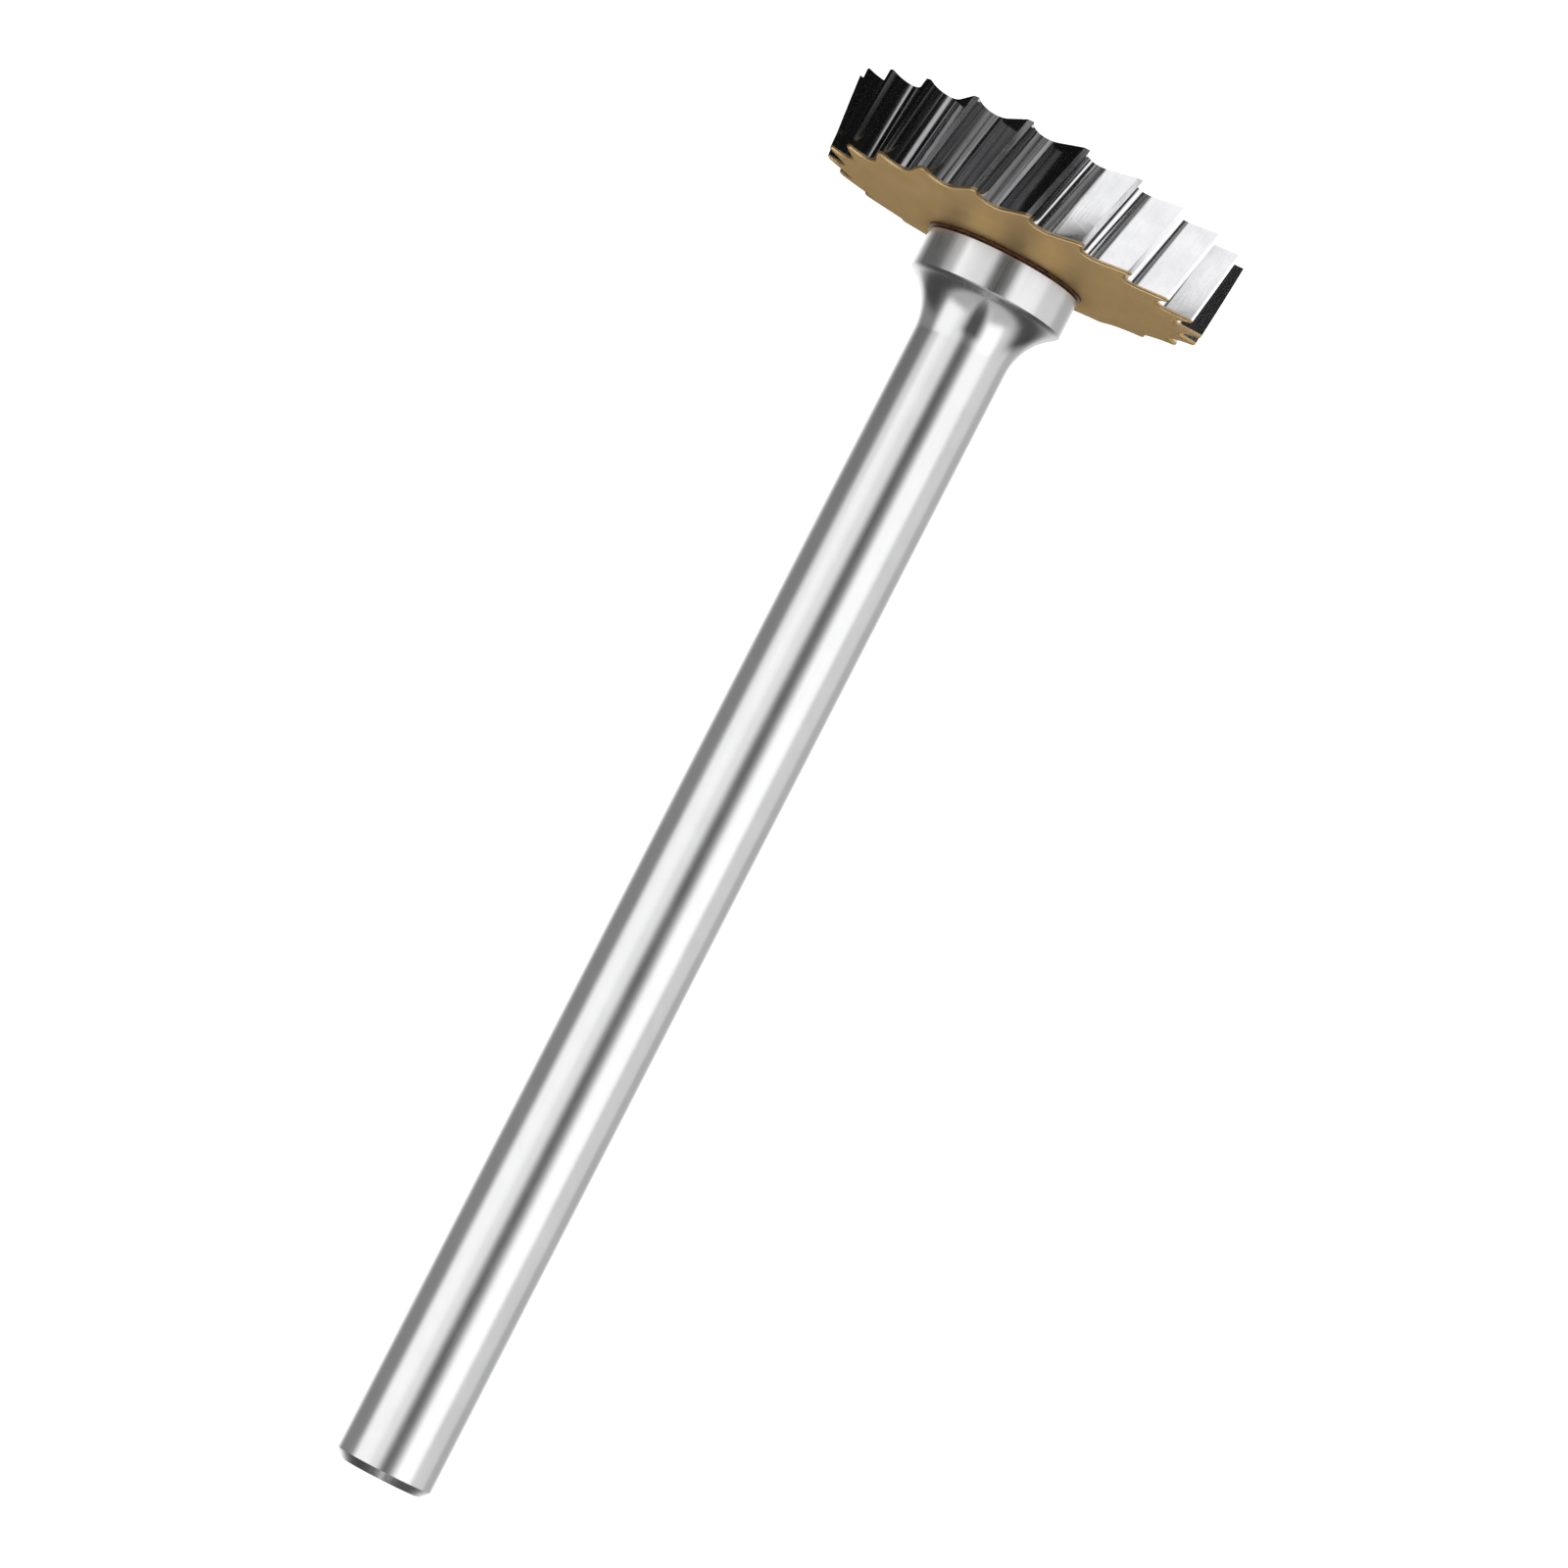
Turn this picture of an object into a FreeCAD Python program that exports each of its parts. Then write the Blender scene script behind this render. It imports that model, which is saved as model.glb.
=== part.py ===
"""Wheel-shaped rotary burr: a toothed carbide disc brazed onto the collar of a plain steel shank.

The shank runs along +Z. The centre of its free end is the origin and the disc is at the top. Lengths
are in millimetres and angles in degrees. Every size comes from the spreadsheet "Sizes".

The pieces, from the bottom up, are
  shank         one turned steel bar: chamfered end, plain grip, flared neck, collar and spigot
  braze_joint   the filler metal: a washer on the collar, a sleeve round the spigot and a cap over it
  back_facing   the brass-coloured layer over the disc's back, with the teeth's outline
  carbide_head  the disc: conical back, tapered rim, twisted flutes, dished front and the blind pocket
                for the spigot
"""

import FreeCAD
import Part

import math
import os
from types import SimpleNamespace

import Sketcher
from FreeCAD import Placement, Rotation, Vector

SIZES = [
    ("overall_length", 42.8, "free end of the shank to the tips of the teeth"),
    ("shank_diameter", 3.0, "the grip that a collet holds"),
    ("end_chamfer", 0.25, "45 degree chamfer round the free end"),
    ("flare_radius", 1.9, "concave neck between the grip and the collar"),
    ("collar_diameter", 4.84, "shoulder that carries the disc"),
    ("collar_height", 1.28, "straight side of the collar"),
    ("collar_chamfer", 0.06, "broken edges of the collar"),
    ("spigot_diameter", 2.4, "locating pin that enters the disc"),
    ("spigot_height", 1.3, "above the collar's face"),
    ("spigot_chamfer", 0.2, "lead-in at the spigot's tip"),
    ("braze_layer", 0.08, "filler thickness on flat faces"),
    ("braze_sleeve", 0.05, "filler thickness round the spigot"),
    ("braze_diameter", 5.0, "filler squeezed out a little past the collar"),
    ("head_diameter", 12.6, "over the tooth tips at the front face"),
    ("rim_height", 2.4, "height of the toothed rim, without the facing"),
    ("hub_diameter", 5.0, "flat middle of the disc's back, where the collar sits"),
    ("back_rise", 0.5, "the back is a shallow cone that rises by this much from hub to rim"),
    ("side_taper", 4.0, "the rim narrows towards the shank by this angle on each side"),
    ("dish_depth", 0.2, "hollow of the front face"),
    ("dish_width", 0.85, "sloping ring between the tooth tips and the floor of the hollow"),
    ("tooth_count", 22, "teeth round the rim"),
    ("flute_depth", 0.68, "from the rim to the root of a flute"),
    ("gullet_radius", 0.54, "round between the face under each cutting edge and the slope behind it"),
    ("tooth_land", 0.14, "narrow land behind each cutting edge"),
    ("helix_angle", 14.5, "slope of the teeth at the rim, right-handed"),
    ("facing_thickness", 0.1, "brass-coloured layer on the back face"),
    ("tool_margin", 0.4, "how far the flute cutter runs past the disc's faces and rim"),
    ("rim_allowance", 0.04, "the cutter's form ends this far outside the rim, so the rim trims it"),
]


class Size:
    """A number together with the spreadsheet expression that gives it."""

    def __init__(self, text, value):
        self.text = text
        self.value = float(value)

    def __add__(self, other):
        other = as_size(other)
        return Size(f"({self.text} + {other.text})", self.value + other.value)

    def __sub__(self, other):
        other = as_size(other)
        return Size(f"({self.text} - {other.text})", self.value - other.value)

    def __mul__(self, other):
        other = as_size(other)
        return Size(f"({self.text} * {other.text})", self.value * other.value)

    def __truediv__(self, other):
        other = as_size(other)
        return Size(f"({self.text} / {other.text})", self.value / other.value)


def as_size(thing):
    return thing if isinstance(thing, Size) else Size(repr(thing), thing)


ZERO = Size("0", 0)


def root(size):
    return Size(f"sqrt({size.text})", math.sqrt(size.value))


def sine(angle):
    return Size(f"sin({angle.text} * 1deg)", math.sin(math.radians(angle.value)))


def cosine(angle):
    return Size(f"cos({angle.text} * 1deg)", math.cos(math.radians(angle.value)))


def tangent(angle):
    return Size(f"tan({angle.text} * 1deg)", math.tan(math.radians(angle.value)))


def degrees_of_arc(length, radius):
    """The angle that an arc of this length takes at this radius."""
    return length / radius * (180 / math.pi)


def write_sizes(doc):
    """Writes the driving dimensions into the spreadsheet and returns them as named sizes."""
    sheet = doc.addObject("Spreadsheet::Sheet", "Sizes")
    named = {}
    for row, (alias, value, meaning) in enumerate(SIZES, start=1):
        sheet.set(f"A{row}", alias)
        sheet.set(f"B{row}", str(value))
        sheet.set(f"C{row}", meaning)
        sheet.setAlias(f"B{row}", alias)
        named[alias] = Size(f"Sizes.{alias}", value)
    doc.recompute()
    return SimpleNamespace(**named)


def work_out(size):
    """Adds the sizes that follow from the driving ones: heights along the axis and the tooth's form."""
    size.grip_radius = size.shank_diameter / 2
    size.collar_radius = size.collar_diameter / 2
    size.spigot_radius = size.spigot_diameter / 2
    size.flare_height = root(size.flare_radius * size.flare_radius - square(
        size.flare_radius + size.grip_radius - size.collar_radius + size.collar_chamfer))
    size.head_thickness = size.back_rise + size.rim_height
    size.stack_height = size.braze_layer + size.facing_thickness + size.head_thickness
    size.collar_face = size.overall_length - size.stack_height
    size.facing_base = size.collar_face + size.braze_layer
    size.head_base = size.facing_base + size.facing_thickness
    size.collar_base = size.collar_face - size.collar_height
    size.grip_top = size.collar_base - size.flare_height
    size.socket_radius = size.spigot_radius + size.braze_sleeve
    size.socket_depth = size.spigot_height + size.braze_layer - (size.head_base - size.collar_face)
    size.front_radius = size.head_diameter / 2
    size.rim_slope = tangent(size.side_taper)
    size.back_radius = size.front_radius - size.rim_height * size.rim_slope
    size.hub_radius = size.hub_diameter / 2
    size.land_angle = degrees_of_arc(size.tooth_land, size.front_radius)
    size.flute_angle = Size("360", 360) / size.tooth_count - size.land_angle
    size.twist_rate = degrees_of_arc(tangent(size.helix_angle), size.front_radius)


def square(size):
    return size * size


def bind(target, path, size):
    target.setExpression(path, size.text)


def new_body(doc, label, base_height):
    """A body whose own origin lies at base_height on the burr's axis."""
    body = doc.addObject("PartDesign::Body", label)
    body.Label = label
    body.Placement = Placement(Vector(0, 0, base_height.value), Rotation())
    bind(body, ".Placement.Base.z", base_height)
    return body


def origin_feature(body, role):
    return next(item for item in body.Origin.OriginFeatures if item.Role == role)


def new_sketch(body, name, role):
    sketch = body.newObject("Sketcher::SketchObject", name)
    sketch.AttachmentSupport = [(origin_feature(body, role), "")]
    sketch.MapMode = "FlatFace"
    return sketch


def named_constraint(sketch, name, size, *what):
    """Adds a constraint that takes its value from the spreadsheet."""
    index = sketch.addConstraint(Sketcher.Constraint(*what, size.value))
    sketch.renameConstraint(index, name)
    bind(sketch, f"Constraints.{name}", size)


def draw_outline(sketch, corners, arcs=None):
    """Draws a closed outline and ties each corner to the spreadsheet.

    corners is a list of (name, x, y). arcs maps the name of the corner where an arc starts to the
    (x, y, radius) of its circle; each arc takes the short way to the next corner, and every other side
    is straight.
    """
    arcs = arcs or {}
    places = [Vector(x.value, y.value, 0) for _, x, y in corners]
    ends = []
    for number, (name, _, _) in enumerate(corners):
        start = places[number]
        finish = places[(number + 1) % len(corners)]
        if name not in arcs:
            side = sketch.addGeometry(Part.LineSegment(start, finish), False)
            ends.append((side, 1, 2))
            continue
        x, y, radius = arcs[name]
        centre = Vector(x.value, y.value, 0)
        start_angle = math.atan2(start.y - centre.y, start.x - centre.x)
        finish_angle = math.atan2(finish.y - centre.y, finish.x - centre.x)
        circle = Part.Circle(centre, Vector(0, 0, 1), radius.value)
        # A sketch holds every arc anticlockwise, so a clockwise one is drawn from its far end.
        if (finish_angle - start_angle) % (2 * math.pi) < math.pi:
            side = sketch.addGeometry(Part.ArcOfCircle(circle, start_angle, finish_angle), False)
            ends.append((side, 1, 2))
        else:
            side = sketch.addGeometry(Part.ArcOfCircle(circle, finish_angle, start_angle), False)
            ends.append((side, 2, 1))
    for number, (side, _, last) in enumerate(ends):
        following, first, _ = ends[(number + 1) % len(ends)]
        sketch.addConstraint(Sketcher.Constraint("Coincident", side, last, following, first))
    for (name, x, y), (side, first, _) in zip(corners, ends):
        for letter, kind, axis, size in (("x", "DistanceX", -2, x), ("y", "DistanceY", -1, y)):
            if size is ZERO:
                sketch.addConstraint(Sketcher.Constraint("PointOnObject", side, first, axis))
            else:
                named_constraint(sketch, f"{name}_{letter}", size, kind, -1, 1, side, first)
        if name in arcs:
            named_constraint(sketch, f"{name}_radius", arcs[name][2], "Radius", side)


def revolve(body, name, corners, arcs=None):
    """Turns a half section, drawn as distance from the axis and height, once round the body's Z axis."""
    sketch = new_sketch(body, f"{name}_section", "XZ_Plane")
    draw_outline(sketch, corners, arcs)
    turned = body.newObject("PartDesign::Revolution", name)
    turned.Profile = sketch
    turned.ReferenceAxis = (origin_feature(body, "Z_Axis"), [""])
    turned.Angle = 360
    body.Tip = turned


def make_shank(doc, size):
    body = new_body(doc, "shank", ZERO)
    collar_edge = size.collar_radius - size.collar_chamfer
    spigot_top = size.collar_face + size.spigot_height
    corners = [
        ("end_centre", ZERO, ZERO),
        ("end_rim", size.grip_radius - size.end_chamfer, ZERO),
        ("grip_start", size.grip_radius, size.end_chamfer),
        ("grip_end", size.grip_radius, size.grip_top),
        ("flare_end", collar_edge, size.collar_base),
        ("collar_low", size.collar_radius, size.collar_base + size.collar_chamfer),
        ("collar_high", size.collar_radius, size.collar_face - size.collar_chamfer),
        ("collar_rim", collar_edge, size.collar_face),
        ("spigot_foot", size.spigot_radius, size.collar_face),
        ("spigot_side", size.spigot_radius, spigot_top - size.spigot_chamfer),
        ("spigot_rim", size.spigot_radius - size.spigot_chamfer, spigot_top),
        ("spigot_centre", ZERO, spigot_top),
    ]
    flare = (size.grip_radius + size.flare_radius, size.grip_top, size.flare_radius)
    revolve(body, "turned_bar", corners, {"grip_end": flare})
    return body


def make_braze_joint(doc, size):
    """The washer, the sleeve and the cap are one piece of solidified filler."""
    body = new_body(doc, "braze_joint", size.collar_face)
    cap_top = size.spigot_height + size.braze_layer
    corners = [
        ("foot_inside", size.spigot_radius, ZERO),
        ("foot_outside", size.braze_diameter / 2, ZERO),
        ("washer_rim", size.braze_diameter / 2, size.braze_layer),
        ("sleeve_foot", size.socket_radius, size.braze_layer),
        ("sleeve_top", size.socket_radius, cap_top),
        ("cap_top", ZERO, cap_top),
        ("cap_inside", ZERO, size.spigot_height),
        ("cap_edge", size.spigot_radius - size.spigot_chamfer, size.spigot_height),
        ("sleeve_inside", size.spigot_radius, size.spigot_height - size.spigot_chamfer),
    ]
    revolve(body, "filler", corners)
    return body


def draw_flute(body, name, size, height):
    """The space between two teeth at this height above the flat middle of the disc's back.

    The cutting edge lies at the sketch's +X axis. Under it the tooth's face runs straight in, a round
    turns at the flute's root, and a slope that leaves the round without a corner rises to the land of
    the next tooth. The sketch is turned with its height, which makes the teeth slope.
    """
    sketch = new_sketch(body, name, "XY_Plane")
    bind(sketch, ".AttachmentOffset.Base.z", height)
    bind(sketch, ".AttachmentOffset.Rotation.Angle", size.twist_rate * height)
    rim = size.back_radius + size.rim_slope * (height - size.back_rise) + size.rim_allowance
    clear = size.front_radius + size.tool_margin
    gullet = size.gullet_radius
    centre_x = rim - size.flute_depth + gullet
    land_x = rim * cosine(size.flute_angle)
    land_y = rim * sine(size.flute_angle)
    across = land_x - centre_x
    along = land_y - gullet
    distance_squared = square(across) + square(along)
    slope_length = root(distance_squared - square(gullet))
    share = gullet / distance_squared
    slope_foot_x = centre_x + share * (gullet * across - slope_length * along)
    slope_foot_y = gullet + share * (gullet * along + slope_length * across)
    corners = [
        ("cutting_edge", rim, ZERO),
        ("face_foot", centre_x, ZERO),
        ("slope_foot", slope_foot_x, slope_foot_y),
        ("land", land_x, land_y),
        ("clear_of_land", clear * cosine(size.flute_angle), clear * sine(size.flute_angle)),
        ("clear_of_edge", clear, ZERO),
    ]
    arcs = {"face_foot": (centre_x, gullet, gullet)}
    draw_outline(sketch, corners, arcs)
    return sketch


def cut_flutes(doc, body, size):
    """Cuts one flute along the whole rim, past the facing and the disc, and repeats it round the axis."""
    doc.recompute()
    before = body.Shape.Volume
    flute = body.newObject("PartDesign::SubtractiveLoft", "flute")
    flute.Profile = draw_flute(body, "flute_low", size, ZERO - size.tool_margin)
    flute.Sections = [draw_flute(body, "flute_high", size, size.head_thickness + size.tool_margin)]
    flute.Ruled = True
    body.Tip = flute
    doc.recompute()
    ring = body.newObject("PartDesign::PolarPattern", "flutes")
    ring.Originals = [flute]
    ring.Axis = (origin_feature(body, "Z_Axis"), [""])
    ring.Angle = 360
    bind(ring, ".Occurrences", size.tooth_count)
    body.Tip = ring
    doc.recompute()
    if not body.Shape.Volume < before:
        raise RuntimeError(f"the flutes cut nothing from {body.Label}")


def make_back_facing(doc, size):
    body = new_body(doc, "back_facing", size.head_base)
    under = ZERO - size.facing_thickness
    lower_rim = size.back_radius - size.facing_thickness * size.rim_slope
    corners = [
        ("hole_low", size.socket_radius, under),
        ("hub_low", size.hub_radius, under),
        ("rim_low", lower_rim, size.back_rise - size.facing_thickness),
        ("rim_high", size.back_radius, size.back_rise),
        ("hub_high", size.hub_radius, ZERO),
        ("hole_high", size.socket_radius, ZERO),
    ]
    revolve(body, "layer", corners)
    cut_flutes(doc, body, size)
    return body


def make_carbide_head(doc, size):
    body = new_body(doc, "carbide_head", size.head_base)
    floor = size.head_thickness - size.dish_depth
    corners = [
        ("back_hole", size.socket_radius, ZERO),
        ("hub_edge", size.hub_radius, ZERO),
        ("back_rim", size.back_radius, size.back_rise),
        ("front_rim", size.front_radius, size.head_thickness),
        ("dish_rim", size.front_radius - size.dish_width, floor),
        ("dish_centre", ZERO, floor),
        ("socket_centre", ZERO, size.socket_depth),
        ("socket_rim", size.socket_radius, size.socket_depth),
    ]
    revolve(body, "blank", corners)
    cut_flutes(doc, body, size)
    return body


def check(doc, pieces):
    for item in doc.Objects:
        if {"Invalid", "Error"} & set(item.State):
            raise RuntimeError(f"{item.Label} failed: {item.State}")
    for piece in pieces:
        if piece.Shape.isNull() or not piece.Shape.isValid() or len(piece.Shape.Solids) != 1:
            raise RuntimeError(f"{piece.Label} is not one valid solid")


def main():
    doc = FreeCAD.newDocument("rotary_burr")
    size = write_sizes(doc)
    work_out(size)
    pieces = [
        make_shank(doc, size),
        make_braze_joint(doc, size),
        make_back_facing(doc, size),
        make_carbide_head(doc, size),
    ]
    doc.recompute()
    check(doc, pieces)
    os.makedirs("parts", exist_ok=True)
    for piece in pieces:
        piece.Shape.exportStep(f"parts/{piece.Label}.step")
        print(piece.Label, round(piece.Shape.Volume, 3), piece.Shape.BoundBox)


main()
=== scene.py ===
"""Looks of a wheel-shaped rotary burr: a toothed carbide disc brazed to a turned steel shank.

Metres throughout. The shank stands on the origin and runs up +Z to the disc. Heights are taken from the
frame, and the sizes that the frame's boxes can't give are named in millimetres below.
"""
import math

import bmesh
import bpy
from mathutils import Matrix, Vector


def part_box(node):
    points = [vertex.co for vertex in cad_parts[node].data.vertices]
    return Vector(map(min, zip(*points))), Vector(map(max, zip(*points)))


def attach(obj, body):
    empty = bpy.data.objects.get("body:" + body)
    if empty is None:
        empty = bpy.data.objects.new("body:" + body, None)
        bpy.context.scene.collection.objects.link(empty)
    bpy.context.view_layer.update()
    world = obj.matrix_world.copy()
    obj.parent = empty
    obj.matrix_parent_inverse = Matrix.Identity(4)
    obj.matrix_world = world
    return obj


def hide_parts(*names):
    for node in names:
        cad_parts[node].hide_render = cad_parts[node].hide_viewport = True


MM = 0.001
MICRON = 0.001 * MM
BODY = "root"

# The turned bar
GRIP_RADIUS = 1.5 * MM
END_CHAMFER = 0.25 * MM
FLARE_RADIUS = 1.9 * MM
COLLAR_HEIGHT = 1.28 * MM
COLLAR_EDGE = 0.06 * MM
SPIGOT_RADIUS = 1.2 * MM
SPIGOT_CHAMFER = 0.2 * MM
# The filler
BRAZE_LAYER = 0.08 * MM
BRAZE_SLEEVE = 0.05 * MM
# The toothed disc
TEETH = 22
FRONT_RADIUS = 6.3 * MM
SIDE_TAPER = math.radians(4.0)
HUB_RADIUS = 2.5 * MM
BACK_RISE = 0.5 * MM
DISH_DEPTH = 0.2 * MM
DISH_WIDTH = 0.85 * MM
FLUTE_DEPTH = 0.68 * MM
GULLET_RADIUS = 0.54 * MM
TOOTH_LAND = 0.14 * MM
HELIX = math.radians(14.5)
# The tool that cuts the flutes runs past the disc, and its form ends just outside the rim.
TOOL_MARGIN = 0.4 * MM
RIM_ALLOWANCE = 0.04 * MM
# How finely the round forms are divided
SHANK_STEPS = 176
FLARE_STEPS = 20
DISC_STEPS = 352
BRAZE_STEPS = 96
BEAD_STEPS = 6
GULLET_STEPS = 24
TWIST_STEPS = 12
# Points closer together than this are one point.
ONE_POINT = 1e-7
# Edges flatter than this shade smoothly, in degrees; the facing's rounded edge needs a smaller angle.
SMOOTH_BELOW = 30
FACING_SMOOTH_BELOW = 14
# The rounded edge where the facing's back meets the flutes, which are told apart by how far their
# faces look up or down.
FACING_BEVEL = 0.05 * MM
BEVEL_SEGMENTS = 2
BACK_FACES_DOWN = -0.9
WALL_STANDS = 0.4


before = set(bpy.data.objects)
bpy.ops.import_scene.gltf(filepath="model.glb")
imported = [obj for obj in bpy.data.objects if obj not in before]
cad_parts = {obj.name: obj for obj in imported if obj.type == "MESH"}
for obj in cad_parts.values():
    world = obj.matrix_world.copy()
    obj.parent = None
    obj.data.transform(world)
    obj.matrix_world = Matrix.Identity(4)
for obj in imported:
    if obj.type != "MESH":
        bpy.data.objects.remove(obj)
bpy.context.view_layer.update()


# ---------------------------------------------------------------- modelling


def deselect_everything():
    if bpy.context.object and bpy.context.object.mode == "EDIT":
        bpy.ops.object.mode_set(mode="OBJECT")
    bpy.ops.object.select_all(action="DESELECT")


def select_only(piece):
    deselect_everything()
    bpy.context.view_layer.objects.active = piece
    piece.select_set(True)


def start_at_point(name, point):
    """A new mesh in edit mode with one selected vertex."""
    deselect_everything()
    bpy.ops.mesh.primitive_plane_add(size=MM)
    piece = bpy.context.object
    piece.name = name
    piece.data.name = name
    bpy.ops.object.mode_set(mode="EDIT")
    bpy.ops.mesh.merge(type="CENTER")
    bpy.ops.transform.translate(value=point)
    return piece


def draw_on(points):
    """Extrudes the selected vertex through the points, each given in full."""
    for here, there in zip(points, points[1:]):
        step = Vector(there) - Vector(here)
        bpy.ops.mesh.extrude_region_move(TRANSFORM_OT_translate={"value": step})


def close_seams():
    bpy.ops.mesh.select_all(action="SELECT")
    bpy.ops.mesh.remove_doubles(threshold=ONE_POINT)
    bpy.ops.mesh.normals_make_consistent(inside=False)


def lathe(name, section, steps):
    """Turns a half section, as (distance from the axis, height), once round Z."""
    points = [(radius, 0, height) for radius, height in section]
    piece = start_at_point(name, points[0])
    draw_on(points)
    bpy.ops.mesh.select_all(action="SELECT")
    bpy.ops.mesh.spin(steps=steps, angle=math.tau, axis=(0, 0, 1), center=(0, 0, 0))
    close_seams()
    bpy.ops.object.mode_set(mode="OBJECT")
    return piece


def arc(centre, radius, start, finish, steps):
    """Points along an arc in a plane, angles in radians."""
    x, y = centre
    turns = [start + (finish - start) * step / steps for step in range(steps + 1)]
    return [(x + radius * math.cos(turn), y + radius * math.sin(turn)) for turn in turns]


def smooth(piece, degrees=SMOOTH_BELOW):
    select_only(piece)
    bpy.ops.object.shade_smooth_by_angle(angle=math.radians(degrees))


def bevel_edges(piece, wanted, width):
    """Bevels the edges whose two face normals pass the test."""
    select_only(piece)
    bpy.ops.object.mode_set(mode="EDIT")
    bpy.ops.mesh.select_mode(type="EDGE")
    bpy.ops.mesh.select_all(action="DESELECT")
    shape = bmesh.from_edit_mesh(piece.data)
    for edge in shape.edges:
        if len(edge.link_faces) == 2:
            first, second = edge.link_faces
            edge.select = wanted(first.normal, second.normal)
    bmesh.update_edit_mesh(piece.data)
    bpy.ops.mesh.bevel(
        offset=width,
        offset_type="OFFSET",
        segments=BEVEL_SEGMENTS,
        clamp_overlap=False,
    )
    bpy.ops.mesh.select_mode(type="VERT")
    bpy.ops.object.mode_set(mode="OBJECT")


def install(piece, node, material):
    """Gives the piece its material and puts it in the place of a CAD node."""
    piece.data.materials.clear()
    piece.data.materials.append(material)
    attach(piece, BODY)
    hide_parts(node)


# ------------------------------------------------------------- dimensions


_, shank_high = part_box("shank")
facing_low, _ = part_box("back_facing")
head_low, head_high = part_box("carbide_head")
braze_low, braze_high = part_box("braze_joint")

COLLAR_RADIUS = shank_high.x
COLLAR_FACE = braze_low.z
SPIGOT_TOP = shank_high.z
BRAZE_RADIUS = braze_high.x
BRAZE_TOP = braze_high.z
FRONT = head_high.z
BACK = head_low.z
FACING_BASE = facing_low.z
TAPER = math.tan(SIDE_TAPER)
BACK_EDGE = BACK + BACK_RISE
BACK_RADIUS = FRONT_RADIUS - (FRONT - BACK_EDGE) * TAPER
SOCKET_RADIUS = SPIGOT_RADIUS + BRAZE_SLEEVE
TWIST_PER_METRE = math.tan(HELIX) / FRONT_RADIUS


def rim_at(height):
    """The radius of the tapered rim at this height."""
    return BACK_RADIUS + (height - BACK_EDGE) * TAPER


# ------------------------------------------------------------------ pieces


def make_shank():
    collar_base = COLLAR_FACE - COLLAR_HEIGHT
    collar_rim = COLLAR_RADIUS - COLLAR_EDGE
    centre_x = GRIP_RADIUS + FLARE_RADIUS
    reach = math.acos((centre_x - collar_rim) / FLARE_RADIUS)
    grip_top = collar_base - FLARE_RADIUS * math.sin(reach)
    flare = arc((centre_x, grip_top), FLARE_RADIUS, math.pi, math.pi - reach, FLARE_STEPS)
    section = [(0, 0), (GRIP_RADIUS - END_CHAMFER, 0), (GRIP_RADIUS, END_CHAMFER)]
    section += flare
    section += [
        (COLLAR_RADIUS, collar_base + COLLAR_EDGE),
        (COLLAR_RADIUS, COLLAR_FACE - COLLAR_EDGE),
        (collar_rim, COLLAR_FACE),
        (SPIGOT_RADIUS, COLLAR_FACE),
        (SPIGOT_RADIUS, SPIGOT_TOP - SPIGOT_CHAMFER),
        (SPIGOT_RADIUS - SPIGOT_CHAMFER, SPIGOT_TOP),
        (0, SPIGOT_TOP),
    ]
    piece = lathe("turned_shank", section, SHANK_STEPS)
    smooth(piece)
    return piece


def make_flute_cutters():
    """All the spaces between the teeth, as one mesh of twisted bars.

    A bar's form runs straight in from the cutting edge, round the gullet and up a straight slope to the
    land of the next tooth.
    """
    low = FACING_BASE - TOOL_MARGIN
    high = FRONT + TOOL_MARGIN
    rim = rim_at(low) + RIM_ALLOWANCE
    outside = FRONT_RADIUS + TOOL_MARGIN
    pitch = math.tau / TEETH
    land_turn = pitch - TOOTH_LAND / FRONT_RADIUS
    land = Vector((rim * math.cos(land_turn), rim * math.sin(land_turn)))
    centre = Vector((rim - FLUTE_DEPTH + GULLET_RADIUS, GULLET_RADIUS))
    towards_land = land - centre
    opening = math.acos(GULLET_RADIUS / towards_land.length)
    slope_foot = math.atan2(towards_land.y, towards_land.x) + opening - math.tau
    gullet = arc(centre, GULLET_RADIUS, -math.pi / 2, slope_foot, GULLET_STEPS)
    outline = [(rim, 0)]
    outline += gullet
    outline += [
        tuple(land),
        (outside * math.cos(land_turn), outside * math.sin(land_turn)),
        (outside, 0),
    ]
    start_turn = (low - BACK) * TWIST_PER_METRE
    spun = Matrix.Rotation(start_turn, 3, "Z")
    points = [spun @ Vector((x, y, low)) for x, y in outline]
    cutters = start_at_point("flute_cutters", points[0])
    draw_on(points)
    bpy.ops.mesh.select_all(action="SELECT")
    bpy.ops.mesh.edge_face_add()
    step = (high - low) / TWIST_STEPS
    for layer in range(TWIST_STEPS):
        height = low + step * (layer + 1)
        bpy.ops.mesh.extrude_region_move(TRANSFORM_OT_translate={"value": (0, 0, step)})
        middle = (0, 0, height)
        growth = rim_at(height) / rim_at(height - step)
        bpy.ops.transform.resize(value=(growth, growth, 1), center_override=middle)
        # This operator turns the other way, so the value is negative for a right-handed twist.
        turn = -step * TWIST_PER_METRE
        bpy.ops.transform.rotate(value=turn, orient_axis="Z", center_override=middle)
    bpy.ops.mesh.select_all(action="SELECT")
    bpy.ops.mesh.normals_make_consistent(inside=False)
    bpy.ops.mesh.spin(
        dupli=True,
        steps=TEETH - 1,
        angle=pitch * (TEETH - 1),
        axis=(0, 0, 1),
        center=(0, 0, 0),
    )
    bpy.ops.mesh.select_all(action="SELECT")
    bpy.ops.mesh.normals_make_consistent(inside=False)
    bpy.ops.object.mode_set(mode="OBJECT")
    return cutters


def cut_teeth(piece, cutters):
    cut = piece.modifiers.new("flutes", "BOOLEAN")
    cut.object = cutters
    cut.operation = "DIFFERENCE"
    cut.solver = "EXACT"
    select_only(piece)
    bpy.ops.object.modifier_apply(modifier=cut.name)


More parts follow.
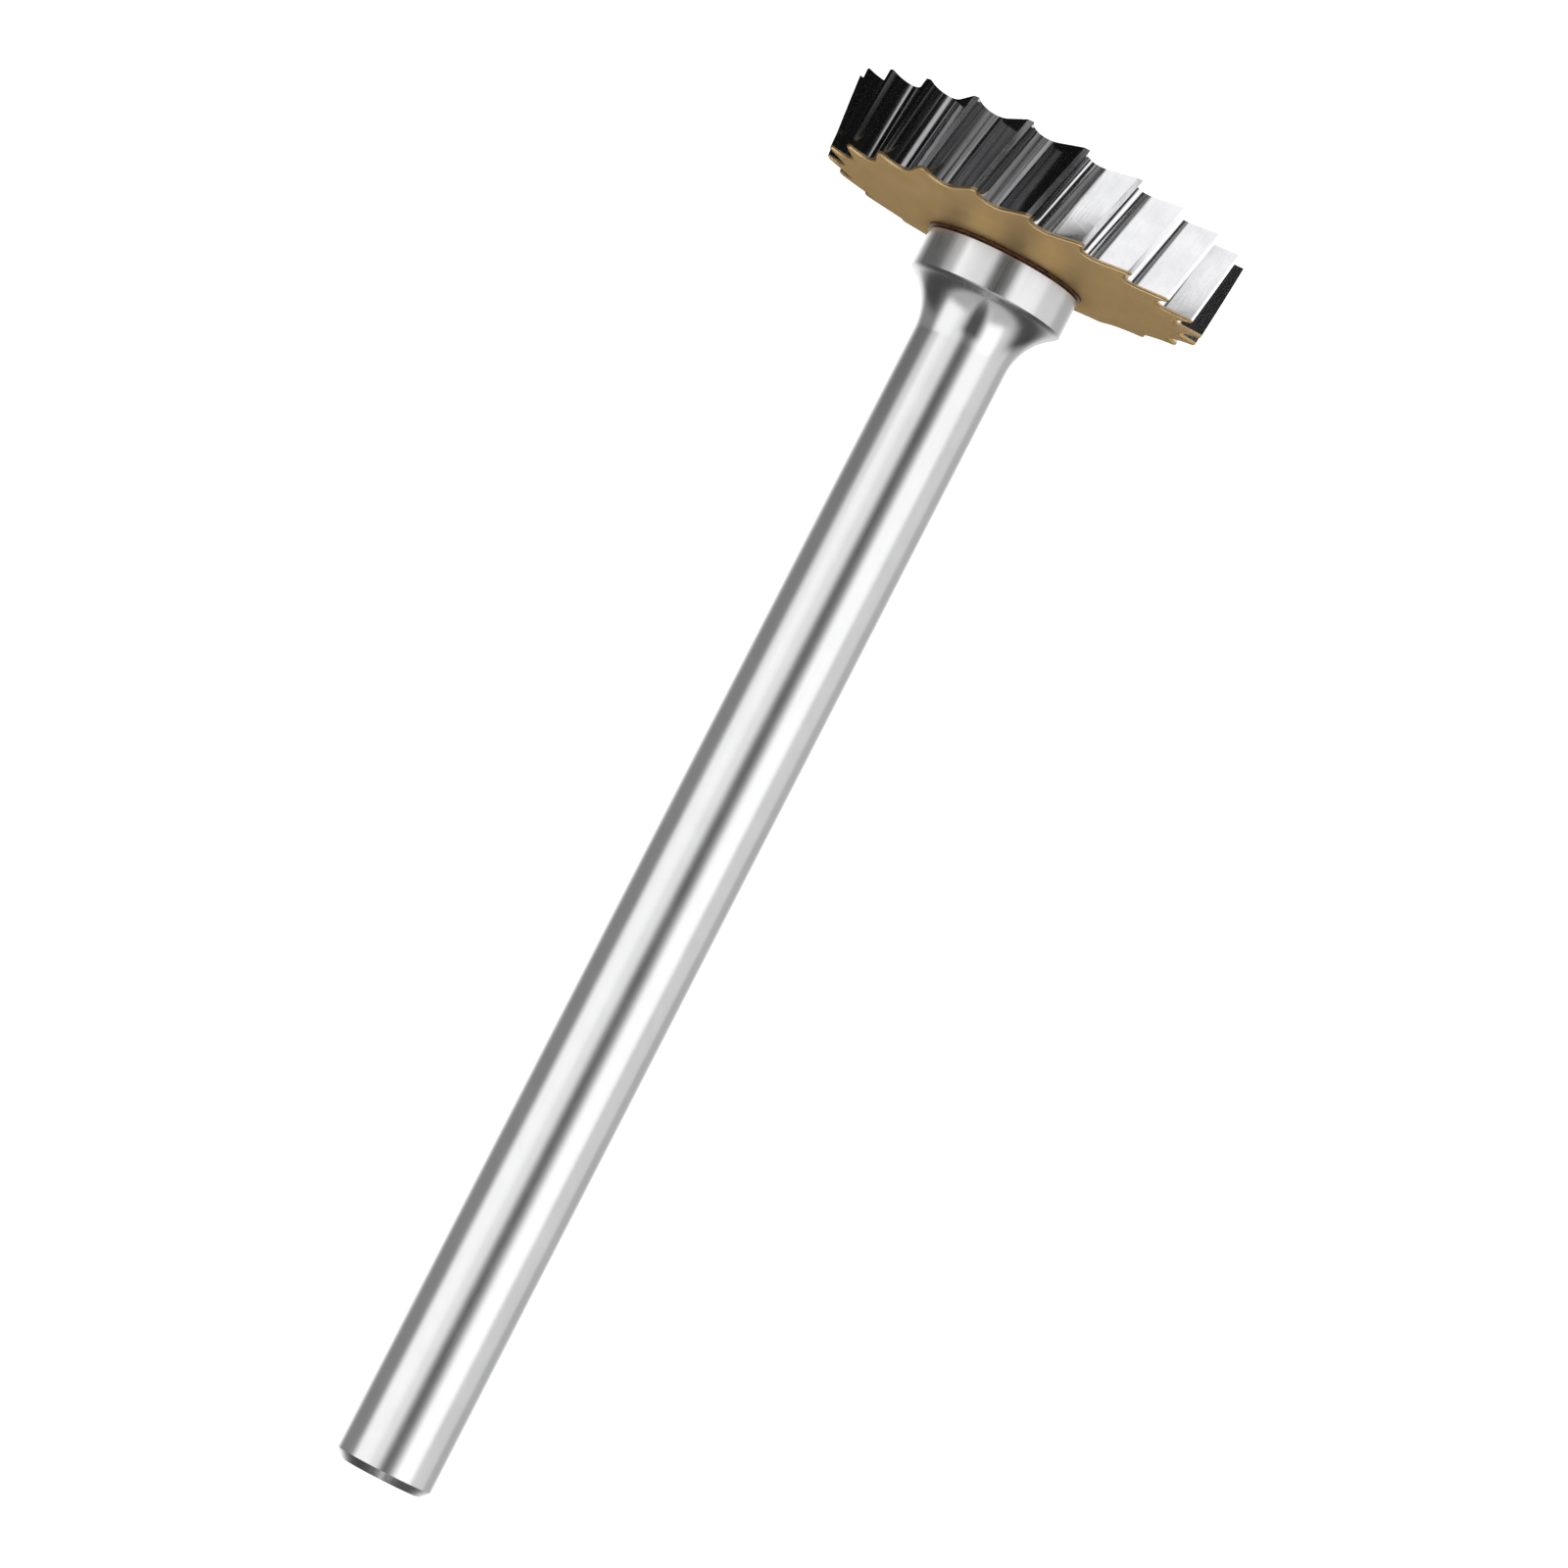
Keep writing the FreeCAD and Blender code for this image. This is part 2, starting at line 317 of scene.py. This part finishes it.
def make_head(cutters):
    floor = FRONT - DISH_DEPTH
    section = [
        (0, BRAZE_TOP),
        (SOCKET_RADIUS, BRAZE_TOP),
        (SOCKET_RADIUS, BACK),
        (HUB_RADIUS, BACK),
        (BACK_RADIUS, BACK_EDGE),
        (FRONT_RADIUS, FRONT),
        (FRONT_RADIUS - DISH_WIDTH, floor),
        (0, floor),
    ]
    piece = lathe("fluted_disc", section, DISC_STEPS)
    cut_teeth(piece, cutters)
    smooth(piece)
    return piece


def back_meets_flute(first, second):
    """True where the disc's back meets a flute's wall."""
    lower, upper = sorted((first.z, second.z))
    return lower < BACK_FACES_DOWN and abs(upper) < WALL_STANDS


def make_facing(cutters):
    facing_edge = BACK_EDGE - (BACK - FACING_BASE)
    section = [
        (SOCKET_RADIUS, FACING_BASE),
        (HUB_RADIUS, FACING_BASE),
        (rim_at(facing_edge), facing_edge),
        (BACK_RADIUS, BACK_EDGE),
        (HUB_RADIUS, BACK),
        (SOCKET_RADIUS, BACK),
        (SOCKET_RADIUS, FACING_BASE),
    ]
    piece = lathe("gold_facing", section, DISC_STEPS)
    cut_teeth(piece, cutters)
    bevel_edges(piece, back_meets_flute, FACING_BEVEL)
    smooth(piece, FACING_SMOOTH_BELOW)
    return piece


def make_braze():
    """The washer with its rounded bead, the sleeve and the cap over the spigot, in one."""
    bead_radius = BRAZE_LAYER / 2
    bead_centre = (BRAZE_RADIUS - bead_radius, COLLAR_FACE + bead_radius)
    bead = arc(bead_centre, bead_radius, -math.pi / 2, math.pi / 2, BEAD_STEPS)
    cap_inside = BRAZE_TOP - BRAZE_LAYER
    section = [(SPIGOT_RADIUS, COLLAR_FACE)]
    section += bead
    section += [
        (SOCKET_RADIUS, COLLAR_FACE + BRAZE_LAYER),
        (SOCKET_RADIUS, BRAZE_TOP),
        (0, BRAZE_TOP),
        (0, cap_inside),
        (SPIGOT_RADIUS - SPIGOT_CHAMFER, cap_inside),
        (SPIGOT_RADIUS, cap_inside - SPIGOT_CHAMFER),
        (SPIGOT_RADIUS, COLLAR_FACE),
    ]
    piece = lathe("braze_fillet", section, BRAZE_STEPS)
    smooth(piece)
    return piece


# --------------------------------------------------------------- materials

# Colours are linear. A shine is a pair, the roughness of the smoothest and of the dullest places, and
# the pairs for wear, pores and rings are added to it. Grains are counted per millimetre, either the
# same all ways or round the rim, outwards and along the axis.
STEEL_GREY = (0.74, 0.74, 0.75)
STEEL_BRIGHT = (0.79, 0.79, 0.79)
STEEL_SHINE = (0.155, 0.215)
STEEL_WEAR = (-0.015, 0.025)
STEEL_RING_GRAINS = (0.15, 9.0, 14.0)
STEEL_SCUFF_GRAINS = (9.0, 1.0, 0.35)
STEEL_CLOUD_GRAINS = 0.7
CARBIDE_DARK = (0.37, 0.37, 0.38)
CARBIDE_LIGHT = (0.42, 0.42, 0.425)
CARBIDE_SHINE = (0.07, 0.12)
CARBIDE_PORES = (0.0, 0.03)
CARBIDE_LINE_GRAINS = (22.0, 22.0, 0.4)
CARBIDE_PORE_GRAINS = 18.0
CARBIDE_CLOUD_GRAINS = 1.2
GOLD_DEEP = (0.43, 0.31, 0.17)
GOLD_LIGHT = (0.47, 0.34, 0.19)
GOLD_HEATED = (0.31, 0.21, 0.11)
GOLD_EDGE_ON = (0.68, 0.54, 0.32)
GOLD_SHINE = (0.40, 0.52)
GOLD_RINGS = (-0.03, 0.03)
GOLD_RING_GRAINS = (0.25, 16.0, 3.0)
GOLD_MATT_GRAINS = 25.0
GOLD_CLOUD_GRAINS = 0.9
HEAT_REACH = 0.5 * MM
HEAT_AT_HUB = 0.45
FILLER_BURNT = (0.045, 0.018, 0.010)
FILLER_BROWN = (0.16, 0.07, 0.03)
FILLER_SHINE = (0.35, 0.6)
FILLER_METALLIC = 0.7
FILLER_RUN_GRAINS = (1.5, 6.0, 6.0)
FILLER_SPECK_GRAINS = 12.0
# The part of a noise's range that is spread out, because few of its values lie beyond.
NOISE_MIDDLE = (0.35, 0.65)
NOISE_ROUGHNESS = 0.6
SPECKLE_DETAIL = 5.0
# A Mix node's colour sockets share their names with its number sockets, so they go by their places.
MIX_COLOUR_A = 6
MIX_COLOUR_B = 7
MIX_COLOUR_RESULT = 2


def new_material(name):
    material = bpy.data.materials.new(name)
    material.use_nodes = True
    nodes = material.node_tree.nodes
    shader = nodes["Principled BSDF"]
    return material, nodes, material.node_tree.links, shader


def feed(links, value, socket):
    """Sets the socket to a number or a colour, or links it to another node's output."""
    if isinstance(value, (int, float)):
        socket.default_value = value
    elif isinstance(value, tuple):
        socket.default_value = (*value, 1)
    else:
        links.new(value, socket)


def math_node(nodes, links, operation, *values):
    node = nodes.new("ShaderNodeMath")
    node.operation = operation
    for value, socket in zip(values, node.inputs):
        feed(links, value, socket)
    return node.outputs[0]


def around_the_axis(nodes, links, twist=0.0):
    """Where a point is, then round the axis in metres of rim, how far out, and how high."""
    place = nodes.new("ShaderNodeTexCoord")
    split = nodes.new("ShaderNodeSeparateXYZ")
    links.new(place.outputs["Object"], split.inputs[0])
    x, y, z = split.outputs
    turn = math_node(nodes, links, "ARCTAN2", y, x)
    if twist:
        turned = math_node(nodes, links, "MULTIPLY", z, twist)
        turn = math_node(nodes, links, "SUBTRACT", turn, turned)
    girth = math_node(nodes, links, "MULTIPLY", turn, FRONT_RADIUS)
    x_squared = math_node(nodes, links, "MULTIPLY", x, x)
    y_squared = math_node(nodes, links, "MULTIPLY", y, y)
    squares = math_node(nodes, links, "ADD", x_squared, y_squared)
    reach = math_node(nodes, links, "SQRT", squares)
    return place.outputs["Object"], girth, reach, z


def noise(nodes, links, place, scale, detail):
    node = nodes.new("ShaderNodeTexNoise")
    node.inputs["Scale"].default_value = scale
    node.inputs["Detail"].default_value = detail
    node.inputs["Roughness"].default_value = NOISE_ROUGHNESS
    links.new(place, node.inputs["Vector"])
    return node.outputs["Fac"]


def grain(nodes, links, axes, grains_per_mm, detail=4.0):
    """Noise whose grains per millimetre are given along each axis."""
    joined = nodes.new("ShaderNodeCombineXYZ")
    for socket, value, count in zip(joined.inputs, axes, grains_per_mm):
        scaled = math_node(nodes, links, "MULTIPLY", value, count / MM)
        links.new(scaled, socket)
    return noise(nodes, links, joined.outputs[0], 1.0, detail)


def speckle(nodes, links, place, grains_per_mm):
    """Noise with the same grain all ways."""
    return noise(nodes, links, place, grains_per_mm / MM, SPECKLE_DETAIL)


def stretch(nodes, links, value, low, high, start=NOISE_MIDDLE[0], finish=NOISE_MIDDLE[1]):
    """Spreads the values from start to finish over the range from low to high."""
    node = nodes.new("ShaderNodeMapRange")
    links.new(value, node.inputs["Value"])
    node.inputs["From Min"].default_value = start
    node.inputs["From Max"].default_value = finish
    node.inputs["To Min"].default_value = low
    node.inputs["To Max"].default_value = high
    return node.outputs[0]


def mix_colours(nodes, links, factor, first, second):
    node = nodes.new("ShaderNodeMix")
    node.data_type = "RGBA"
    links.new(factor, node.inputs["Factor"])
    feed(links, first, node.inputs[MIX_COLOUR_A])
    feed(links, second, node.inputs[MIX_COLOUR_B])
    return node.outputs[MIX_COLOUR_RESULT]


def raise_surface(nodes, links, shader, layers):
    """Chains bump layers, each a height, its depth in metres and its strength."""
    normal = None
    for height, depth, strength in layers:
        bump = nodes.new("ShaderNodeBump")
        bump.inputs["Distance"].default_value = depth
        bump.inputs["Strength"].default_value = strength
        links.new(height, bump.inputs["Height"])
        if normal is not None:
            links.new(normal, bump.inputs["Normal"])
        normal = bump.outputs[0]
    links.new(normal, shader.inputs["Normal"])


def turned_steel():
    """Bright drawn and polished bar: faint rings from the lathe, fine scuffs along it."""
    material, nodes, links, shader = new_material("polished_steel")
    place, girth, reach, z = around_the_axis(nodes, links)
    rings = grain(nodes, links, (girth, reach, z), STEEL_RING_GRAINS)
    scuffs = grain(nodes, links, (girth, reach, z), STEEL_SCUFF_GRAINS, detail=6.0)
    clouds = speckle(nodes, links, place, STEEL_CLOUD_GRAINS)
    tone = stretch(nodes, links, clouds, 0.0, 1.0)
    colour = mix_colours(nodes, links, tone, STEEL_GREY, STEEL_BRIGHT)
    links.new(colour, shader.inputs["Base Color"])
    shine = stretch(nodes, links, scuffs, *STEEL_SHINE)
    wear = stretch(nodes, links, clouds, *STEEL_WEAR)
    shine = math_node(nodes, links, "ADD", shine, wear)
    links.new(shine, shader.inputs["Roughness"])
    shader.inputs["Metallic"].default_value = 1.0
    raise_surface(nodes, links, shader, [(rings, 0.4 * MICRON, 0.5), (scuffs, 0.3 * MICRON, 0.35)])
    return material


def ground_carbide():
    """Dark hard metal, mirror-ground: grinding lines run down each flute."""
    material, nodes, links, shader = new_material("ground_carbide")
    place, girth, reach, z = around_the_axis(nodes, links, twist=TWIST_PER_METRE)
    lines = grain(nodes, links, (girth, reach, z), CARBIDE_LINE_GRAINS, detail=5.0)
    pores = speckle(nodes, links, place, CARBIDE_PORE_GRAINS)
    clouds = speckle(nodes, links, place, CARBIDE_CLOUD_GRAINS)
    tone = stretch(nodes, links, clouds, 0.0, 1.0)
    colour = mix_colours(nodes, links, tone, CARBIDE_DARK, CARBIDE_LIGHT)
    links.new(colour, shader.inputs["Base Color"])
    shine = stretch(nodes, links, lines, *CARBIDE_SHINE)
    dull = stretch(nodes, links, pores, *CARBIDE_PORES)
    shine = math_node(nodes, links, "ADD", shine, dull)
    links.new(shine, shader.inputs["Roughness"])
    shader.inputs["Metallic"].default_value = 1.0
    raise_surface(nodes, links, shader, [(lines, 0.4 * MICRON, 0.35), (pores, 0.2 * MICRON, 0.15)])
    return material


def satin_brass():
    """Gold-coloured facing: satin, faintly ringed, a little darker where the brazing heat reached."""
    material, nodes, links, shader = new_material("brass_facing")
    place, girth, reach, z = around_the_axis(nodes, links)
    rings = grain(nodes, links, (girth, reach, z), GOLD_RING_GRAINS)
    matt = speckle(nodes, links, place, GOLD_MATT_GRAINS)
    clouds = speckle(nodes, links, place, GOLD_CLOUD_GRAINS)
    tone = stretch(nodes, links, clouds, 0.0, 1.0)
    colour = mix_colours(nodes, links, tone, GOLD_DEEP, GOLD_LIGHT)
    heat = stretch(nodes, links, reach, HEAT_AT_HUB, 0.0, HUB_RADIUS, HUB_RADIUS + HEAT_REACH)
    colour = mix_colours(nodes, links, heat, colour, GOLD_HEATED)
    links.new(colour, shader.inputs["Base Color"])
    shine = stretch(nodes, links, matt, *GOLD_SHINE)
    ringed = stretch(nodes, links, rings, *GOLD_RINGS)
    shine = math_node(nodes, links, "ADD", shine, ringed)
    links.new(shine, shader.inputs["Roughness"])
    shader.inputs["Metallic"].default_value = 1.0
    shader.inputs["Specular Tint"].default_value = (*GOLD_EDGE_ON, 1)
    raise_surface(nodes, links, shader, [(rings, 0.6 * MICRON, 0.5), (matt, 0.5 * MICRON, 0.4)])
    return material


def burnt_filler():
    """Braze that has run out and oxidised: dark brown, uneven."""
    material, nodes, links, shader = new_material("braze_filler")
    place, girth, reach, z = around_the_axis(nodes, links)
    runs = grain(nodes, links, (girth, reach, z), FILLER_RUN_GRAINS)
    specks = speckle(nodes, links, place, FILLER_SPECK_GRAINS)
    tone = stretch(nodes, links, runs, 0.0, 1.0)
    colour = mix_colours(nodes, links, tone, FILLER_BURNT, FILLER_BROWN)
    links.new(colour, shader.inputs["Base Color"])
    shine = stretch(nodes, links, specks, *FILLER_SHINE)
    links.new(shine, shader.inputs["Roughness"])
    shader.inputs["Metallic"].default_value = FILLER_METALLIC
    raise_surface(nodes, links, shader, [(runs, 4 * MICRON, 0.5), (specks, 2 * MICRON, 0.4)])
    return material


cutters = make_flute_cutters()
head = make_head(cutters)
facing = make_facing(cutters)
bpy.data.objects.remove(cutters)
shank = make_shank()
braze = make_braze()
install(shank, "shank", turned_steel())
install(braze, "braze_joint", burnt_filler())
install(facing, "back_facing", satin_brass())
install(head, "carbide_head", ground_carbide())

# ------------------------------------------------------------------ studio

# The camera stands at this bearing from the -Y side, and is then turned, tipped and rolled.
CAMERA_AZIMUTH = math.radians(8.6)
CAMERA_DISTANCE = 199.3 * MM
CAMERA_HEIGHT = 8.95 * MM
CAMERA_YAW = math.radians(0.351)
CAMERA_PITCH = math.radians(-4.091)
CAMERA_ROLL = math.radians(27.199)
SENSOR = 36.0
FIELD_OF_VIEW = math.radians(13.04)
NEAREST_SEEN = 0.01
FURTHEST_SEEN = 20.0
WORLD_STRENGTH = 1.2
FLOOR_SIZE = 8.0
FLOOR_DROP = 0.06
FLOOR_PALE = (0.93, 0.93, 0.93)
FLOOR_ROUGHNESS = 0.7
TENT_CENTRE = 0.03
TENT_SEGMENTS = 64
TENT_RINGS = 32
HEAD_TENT_RADIUS = 0.8
SHANK_TENT_RADIUS = 0.9


def make_camera():
    data = bpy.data.cameras.new("camera")
    data.sensor_width = SENSOR
    data.lens = SENSOR / 2 / math.tan(FIELD_OF_VIEW / 2)
    data.clip_start = NEAREST_SEEN
    data.clip_end = FURTHEST_SEEN
    camera = bpy.data.objects.new("camera", data)
    bpy.context.scene.collection.objects.link(camera)
    level = Matrix(((1, 0, 0), (0, 0, -1), (0, 1, 0)))
    round_the_part = Matrix.Rotation(CAMERA_AZIMUTH, 3, "Z")
    turn = (
        round_the_part
        @ level
        @ Matrix.Rotation(-CAMERA_YAW, 3, "Y")
        @ Matrix.Rotation(-CAMERA_PITCH, 3, "X")
        @ Matrix.Rotation(CAMERA_ROLL, 3, "Z")
    )
    camera.matrix_world = turn.to_4x4()
    camera.location = round_the_part @ Vector((0, -CAMERA_DISTANCE, CAMERA_HEIGHT))
    bpy.context.scene.camera = camera


def make_world():
    """Even white light that polished metal doesn't reflect: the tents give its reflections."""
    world = bpy.data.worlds.new("studio")
    bpy.context.scene.world = world
    world.use_nodes = True
    background = world.node_tree.nodes["Background"]
    background.inputs["Color"].default_value = (1, 1, 1, 1)
    background.inputs["Strength"].default_value = WORLD_STRENGTH
    world.cycles_visibility.glossy = False


def make_floor():
    deselect_everything()
    bpy.ops.mesh.primitive_plane_add(size=FLOOR_SIZE, location=(0, 0, -FLOOR_DROP))
    floor = bpy.context.object
    floor.name = "pale_floor"
    material, _, _, shader = new_material("pale_floor")
    shader.inputs["Base Color"].default_value = (*FLOOR_PALE, 1)
    shader.inputs["Roughness"].default_value = FLOOR_ROUGHNESS
    shader.inputs["Specular IOR Level"].default_value = 0.0
    floor.data.materials.append(material)
    floor.visible_glossy = False


def soft_step(nodes, links, value, start, finish):
    """0 before start and 1 past finish, in degrees; falling when start is the larger."""
    node = nodes.new("ShaderNodeMapRange")
    node.interpolation_type = "SMOOTHSTEP"
    links.new(value, node.inputs["Value"])
    rising = finish > start
    node.inputs["From Min"].default_value = min(start, finish)
    node.inputs["From Max"].default_value = max(start, finish)
    node.inputs["To Min"].default_value = 0 if rising else 1
    node.inputs["To Max"].default_value = 1 if rising else 0
    return node.outputs[0]


def panel_mask(nodes, links, bearing, height, panel):
    """1 inside a panel of the tent, 0 outside it, with edges half as soft above and below as beside."""
    left, right, foot, top, edge = panel
    beside = edge / 2
    above = edge / 4
    steps = []
    if left > -180:
        steps.append(soft_step(nodes, links, bearing, left - beside, left + beside))
    if right < 180:
        steps.append(soft_step(nodes, links, bearing, right + beside, right - beside))
    if foot > -90:
        steps.append(soft_step(nodes, links, height, foot - above, foot + above))
    if top < 90:
        steps.append(soft_step(nodes, links, height, top + above, top - above))
    mask = steps[0]
    for step in steps[1:]:
        mask = math_node(nodes, links, "MULTIPLY", mask, step)
    return mask


def tent_material(name, base, panels, see_through):
    """Glowing cloth, dim at its base level, whose panels shine by their bearing and height in degrees.

    A later panel covers the earlier ones. Cloth that is see-through lets the outer tent's light pass.
    """
    material = bpy.data.materials.new(name)
    material.use_nodes = True
    nodes = material.node_tree.nodes
    links = material.node_tree.links
    nodes.clear()
    place = nodes.new("ShaderNodeTexCoord")
    unit = nodes.new("ShaderNodeVectorMath")
    unit.operation = "NORMALIZE"
    links.new(place.outputs["Object"], unit.inputs[0])
    split = nodes.new("ShaderNodeSeparateXYZ")
    links.new(unit.outputs[0], split.inputs[0])
    towards = math_node(nodes, links, "MULTIPLY", split.outputs["Y"], -1)
    bearing = math_node(nodes, links, "ARCTAN2", split.outputs["X"], towards)
    bearing = math_node(nodes, links, "DEGREES", bearing)
    height = math_node(nodes, links, "ARCSINE", split.outputs["Z"])
    height = math_node(nodes, links, "DEGREES", height)
    level = base
    for glow, panel in panels:
        mask = panel_mask(nodes, links, bearing, height, panel)
        blend = nodes.new("ShaderNodeMix")
        links.new(mask, blend.inputs["Factor"])
        feed(links, level, blend.inputs["A"])
        blend.inputs["B"].default_value = glow
        level = blend.outputs["Result"]
    emission = nodes.new("ShaderNodeEmission")
    links.new(level, emission.inputs["Strength"])
    surface = emission.outputs[0]
    if see_through:
        clear = nodes.new("ShaderNodeBsdfTransparent")
        both = nodes.new("ShaderNodeAddShader")
        links.new(surface, both.inputs[0])
        links.new(clear.outputs[0], both.inputs[1])
        surface = both.outputs[0]
    output = nodes.new("ShaderNodeOutputMaterial")
    links.new(surface, output.inputs["Surface"])
    material.cycles.emission_sampling = "NONE"
    return material


def make_tent(name, radius, material, lit):
    """A round light tent that only reflections see, and that lights only the pieces given."""
    deselect_everything()
    bpy.ops.mesh.primitive_uv_sphere_add(segments=TENT_SEGMENTS, ring_count=TENT_RINGS, radius=radius)
    tent = bpy.context.object
    tent.name = name
    tent.location = (0, 0, TENT_CENTRE)
    tent.rotation_euler = (0, 0, CAMERA_AZIMUTH)
    tent.data.materials.append(material)
    tent.visible_camera = False
    tent.visible_diffuse = False
    tent.visible_transmission = False
    tent.visible_volume_scatter = False
    tent.visible_shadow = False
    receivers = bpy.data.collections.new(name + "_lights")
    for piece in lit:
        receivers.objects.link(piece)
    tent.light_linking.receiver_collection = receivers


# Each panel: its glow, then left, right, foot, top and edge softness in degrees. Bearings are from the
# camera's side, to the right; heights are above level. Carbide gives back about two fifths of a glow,
# so 2.5 reads as white on it.
SHANK_BASE = 0.5
SHANK_PANELS = [
    (1.05, (-180, -150, -90, 90, 24)),
    (0.28, (-140, -84, -90, 90, 26)),
    (1.22, (-80, -30, -90, 90, 18)),
    (1.0, (-36, -12, -90, 90, 20)),
    (0.14, (-8, 13, -90, 90, 22)),
    (1.35, (24, 72, -90, 90, 20)),
    (0.78, (74, 116, -90, 90, 18)),
    (0.52, (116, 142, -90, 90, 14)),
    (0.8, (152, 180, -90, 90, 16)),
    (0.07, (-150, -90, -90, -12, 36)),
    (0.06, (-18, 22, -90, -11, 26)),
    (0.07, (96, 150, -90, -12, 36)),
    (0.5, (-88, -22, -90, -46, 30)),
    (0.55, (28, 92, -90, -46, 30)),
    (0.05, (-132, -62, 8.2, 30, 14)),
    (0.85, (-50, -12, 8.2, 30, 12)),
    (0.05, (-8, 22, 8.2, 30, 12)),
    (0.95, (30, 74, 8.2, 30, 14)),
]
HEAD_BASE = 0.012
HEAD_PANELS = [
    (1.1, (-78, -38, -5.5, 2.5, 6)),
    (0.5, (-40, 2, -5, 2.5, 6)),
    (0.8, (-45, -14, 3.5, 11, 8)),
    (0.22, (-14, 14, 3.5, 13, 8)),
    (0.45, (4, 26, -4, 14, 12)),
    (0.5, (-6, 74, -12, -7, 6)),
    (2.5, (66, 150, -9, 13, 10)),
    (2.3, (-50, 76, 17, 90, 6)),
    (0.04, (72, 100, 13, 20, 6)),
    (0.06, (26, 66, 9, 17.6, 4)),
    (0.5, (32, 50, 8, 90, 6)),
    (0.03, (-34, -24, 0.5, 3.5, 4)),
    (0.03, (2, 12, 0.5, 3.5, 4)),
    (2.5, (33, 50, 0.5, 4, 4)),
    (0.52, (-180, -150, -40, -6, 16)),
    (0.64, (-158, -110, -40, -6, 16)),
    (0.47, (150, 180, -40, -6, 16)),
    (0.2, (110, 158, -40, -6, 16)),
    (2.5, (-180, 180, -90, -50, 16)),
    (0.9, (100, 180, 19, 90, 14)),
    (0.9, (-180, -88, 22, 90, 14)),
]

make_camera()
make_world()
make_floor()
head_cloth = tent_material("head_tent", HEAD_BASE, HEAD_PANELS, see_through=True)
shank_cloth = tent_material("shank_tent", SHANK_BASE, SHANK_PANELS, see_through=False)
make_tent("head_tent", HEAD_TENT_RADIUS, head_cloth, [head, facing])
make_tent("shank_tent", SHANK_TENT_RADIUS, shank_cloth, [shank, braze])
bpy.context.scene.view_settings.view_transform = "Standard"
